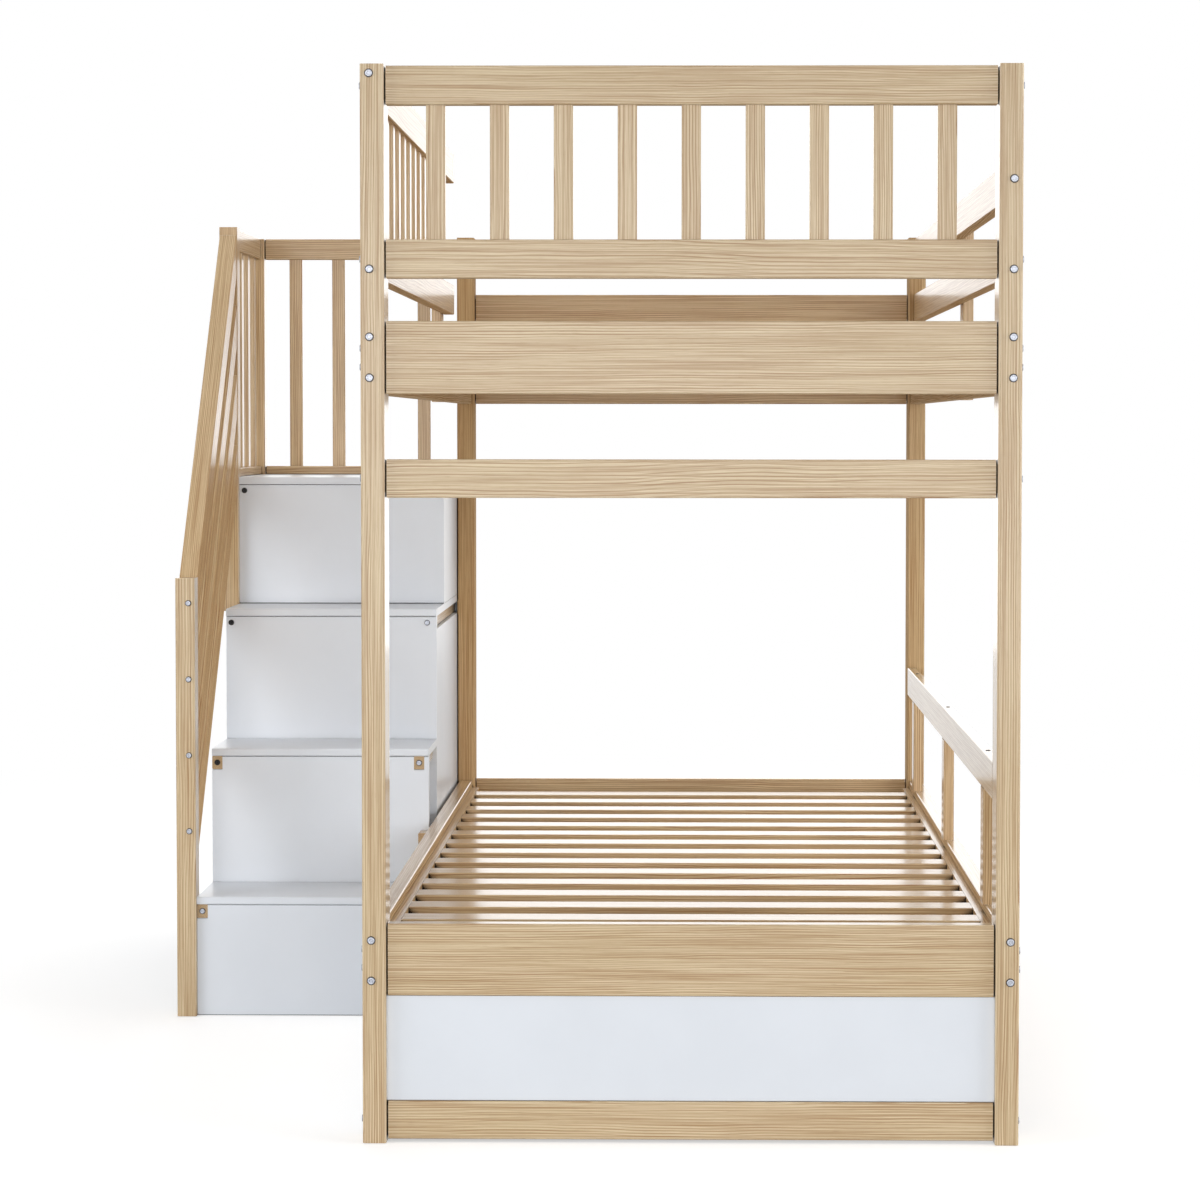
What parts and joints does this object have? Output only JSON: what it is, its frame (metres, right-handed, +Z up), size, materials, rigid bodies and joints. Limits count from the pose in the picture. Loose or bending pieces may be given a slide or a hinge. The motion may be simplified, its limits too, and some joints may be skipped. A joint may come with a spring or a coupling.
{
  "type": "bunk bed",
  "caption": "Wooden twin bunk bed with slatted bunks, guard rails and a closed-riser storage staircase with a slanted handrail and landing guard beside it.",
  "frame": {"origin": "middle of the footprint, on the floor", "axes": "+Z up; +Y from the tall foot end with the slats towards the far end, along the bed; the staircase is on the -X side and climbs along +Y"},
  "size_m": [1.554, 1.997, 1.739],
  "materials": {
    "oak": "clear matt lacquer on pale straight-grained wood",
    "white_panel": "smooth satin white lacquer on board",
    "drawer_wood": "bare planed wood",
    "steel": "bright zinc plating",
    "black_steel": "black oxide",
    "glide": "hard grey-white plastic"
  },
  "bodies": {
    "frame": {"far_foot_panel": "white_panel", "far_foot_rail": "oak", "far_guard_rail": "oak", "far_left_post": "oak", "far_lower_board": "oak", "far_right_post": "oak", "far_top_rail": "oak", "far_upper_board": "oak", "frame_bolts": "steel", "landing_back_slats": "oak", "landing_rails": "oak", "landing_side_slats": "oak", "landing_stiles": "oak", "left_guard_rails": "oak", "left_guard_slats": "oak", "left_guard_stile": "oak", "lower_bed_slats": "oak", "lower_guard_bolts": "black_steel", "lower_guard_rail": "oak", "lower_guard_uprights": "oak", "lower_left_side_rail": "oak", "lower_right_side_rail": "oak", "lower_slat_ledges": "oak", "near_end_slats": "oak", "near_foot_panel": "white_panel", "near_foot_rail": "oak", "near_guard_rail": "oak", "near_left_post": "oak", "near_lower_board": "oak", "near_mid_rail": "oak", "near_right_post": "oak", "near_top_rail": "oak", "near_upper_board": "oak", "right_guard_rails": "oak", "right_guard_stile": "oak", "stair_back_panel": "white_panel", "stair_black_bolts": "black_steel", "stair_bolts": "steel", "stair_cleats": "oak", "stair_floor_panels": "white_panel", "stair_front_post": "oak", "stair_risers": "white_panel", "stair_side_panels": "white_panel", "stair_slanted_rails": "oak", "stair_spacer_block": "oak", "stair_tread_1": "white_panel", "stair_tread_2": "white_panel", "stair_tread_3": "white_panel", "stair_tread_4": "white_panel", "upper_bed_slats": "oak", "upper_left_side_rail": "oak", "upper_right_side_rail": "oak", "upper_slat_ledges": "oak"},
    "drawer_1": {"drawer_1_box": "drawer_wood", "drawer_1_front": "white_panel", "drawer_1_glides": "glide"},
    "drawer_2": {"drawer_2_box": "drawer_wood", "drawer_2_front": "white_panel", "drawer_2_glides": "glide"}
  },
  "joints": [
    {"name": "drawer_1_slide", "type": "slide", "parent": "frame", "child": "drawer_1", "axis": [-1, 0, 0], "range_m": [0, 0.45]},
    {"name": "drawer_2_slide", "type": "slide", "parent": "frame", "child": "drawer_2", "axis": [-1, 0, 0], "range_m": [0, 0.45]}
  ]
}
